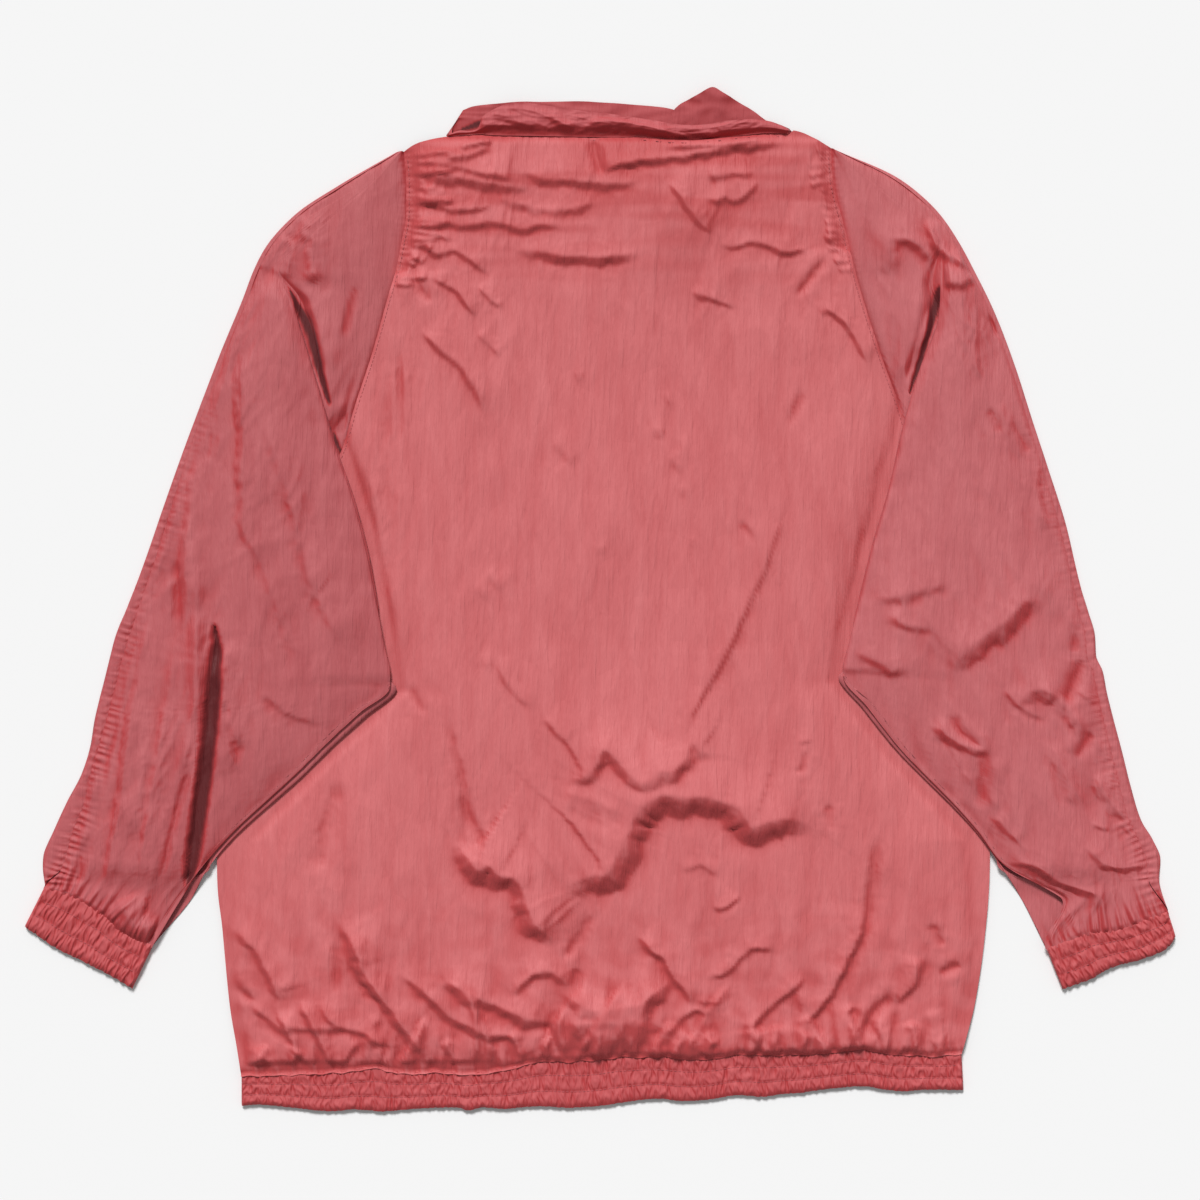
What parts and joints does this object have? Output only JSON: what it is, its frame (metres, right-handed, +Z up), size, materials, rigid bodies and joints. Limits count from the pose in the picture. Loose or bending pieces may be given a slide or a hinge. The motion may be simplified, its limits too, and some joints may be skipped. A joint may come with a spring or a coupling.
{
  "type": "windbreaker jacket",
  "caption": "Batwing windbreaker in crinkled nylon laid flat on its front, sleeves folded over the sides, stand collar, elastic waistband and cuffs, zip front.",
  "frame": {"origin": "centre of the bounding box in plan, at the surface it lies on", "axes": "+X across the jacket to the right in the picture's view, +Y from hem to collar, +Z up, out of the back"},
  "size_m": [0.8274, 0.7351, 0.0106],
  "materials": {
    "shell": "crinkled nylon with a soft two-tone sheen",
    "elastic": "the same nylon gathered on elastic",
    "tape": "woven zip tape",
    "chain": "moulded",
    "slider": "satin"
  },
  "bodies": {
    "jacket": {"back": "shell", "front_left": "shell", "front_right": "shell", "sleeve_back_left": "shell", "sleeve_back_right": "shell", "sleeve_front_left": "shell", "sleeve_front_right": "shell", "collar": "shell", "waistband": "elastic", "cuff_left": "elastic", "cuff_right": "elastic", "zip_tape_left": "tape", "zip_tape_right": "tape", "zip_chain": "chain", "zip_slider": "slider"},
    "pull_tab": {"zip_pull": "slider"}
  },
  "joints": [
    {"name": "pull_hinge", "type": "hinge", "parent": "jacket", "child": "pull_tab", "pos_m": [0.05104, 0.28936, 0.00215], "axis": [0.9971, -0.0767, 0], "range_deg": [0, 150]}
  ]
}
